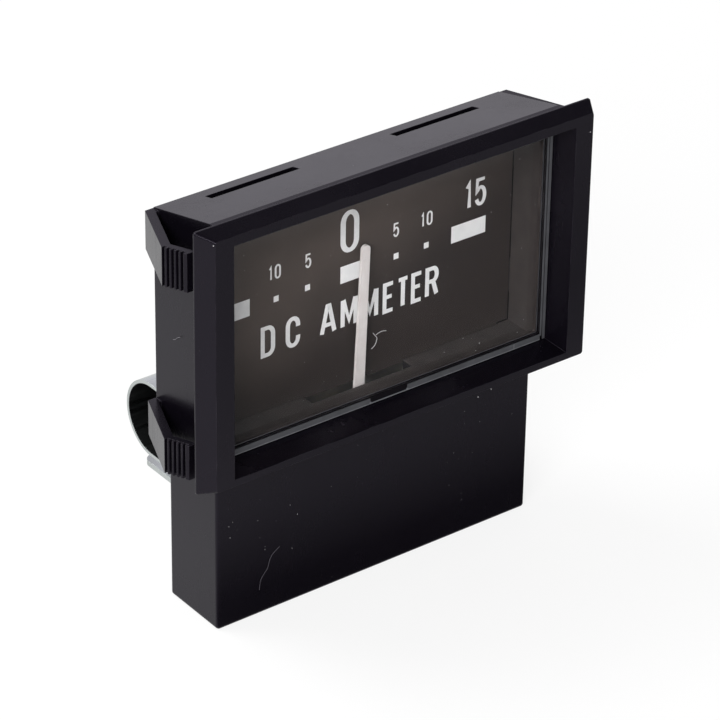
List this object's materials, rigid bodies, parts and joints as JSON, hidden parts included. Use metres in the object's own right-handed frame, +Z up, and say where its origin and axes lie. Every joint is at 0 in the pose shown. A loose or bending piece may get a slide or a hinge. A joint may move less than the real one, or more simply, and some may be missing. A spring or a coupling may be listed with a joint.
{
  "type": "analog panel meter",
  "caption": "Rectangular snap-in ammeter with a bezelled window over a centre-zero dial and pointer, a narrower lower well, toothed snap arms, and a bent strap with blade terminals behind.",
  "frame": {"origin": "in the middle plane of the panel that the meter snaps into, 0.85 mm behind the bezel's rear face, at the middle of the bezel's width and of its front face's height", "axes": "+X to the right seen from the front, +Y from the face to the back, +Z up"},
  "size_m": [0.0654, 0.0309, 0.063],
  "materials": {
    "black_moulding": "gloss black moulding",
    "clear_plastic": "clear, polished",
    "dial_paint": "matt dark, printed white",
    "black_plastic": "satin black",
    "plated_steel": "zinc plated",
    "screw_steel": "bright",
    "brass": "turned",
    "spindle_steel": "ground",
    "pointer_paint": "off-white paint",
    "soft_iron": "dull",
    "magnet": "dull grey",
    "tinned_brass": "tin plated, silver",
    "rivet_brass": "tin plated"
  },
  "bodies": {
    "housing": {"case": "black_moulding", "window": "clear_plastic", "dial_plate": "dial_paint", "rear_cover": "black_plastic", "movement_frame": "plated_steel", "frame_screws": "screw_steel", "front_bridge": "plated_steel", "bridge_screws": "screw_steel", "front_bearing": "brass", "bearing_nut": "brass", "rear_bearing": "brass", "control_magnet": "magnet", "magnet_clip": "plated_steel", "stop_pins": "screw_steel", "shunt_strap": "tinned_brass", "left_terminal": "tinned_brass", "right_terminal": "tinned_brass", "terminal_rivets": "rivet_brass", "strap_rivets": "rivet_brass"},
    "rotor": {"pointer": "pointer_paint", "pointer_hub": "brass", "spindle": "spindle_steel", "moving_vane": "soft_iron", "balance_weight": "brass"}
  },
  "joints": [
    {"name": "pointer_swing", "type": "hinge", "parent": "housing", "child": "rotor", "pos_m": [0, 0.0069, -0.02385], "axis": [0, 1, 0], "range_deg": [-46.1, 41.7], "stiffness_Nm_per_rad": 0.0001}
  ]
}
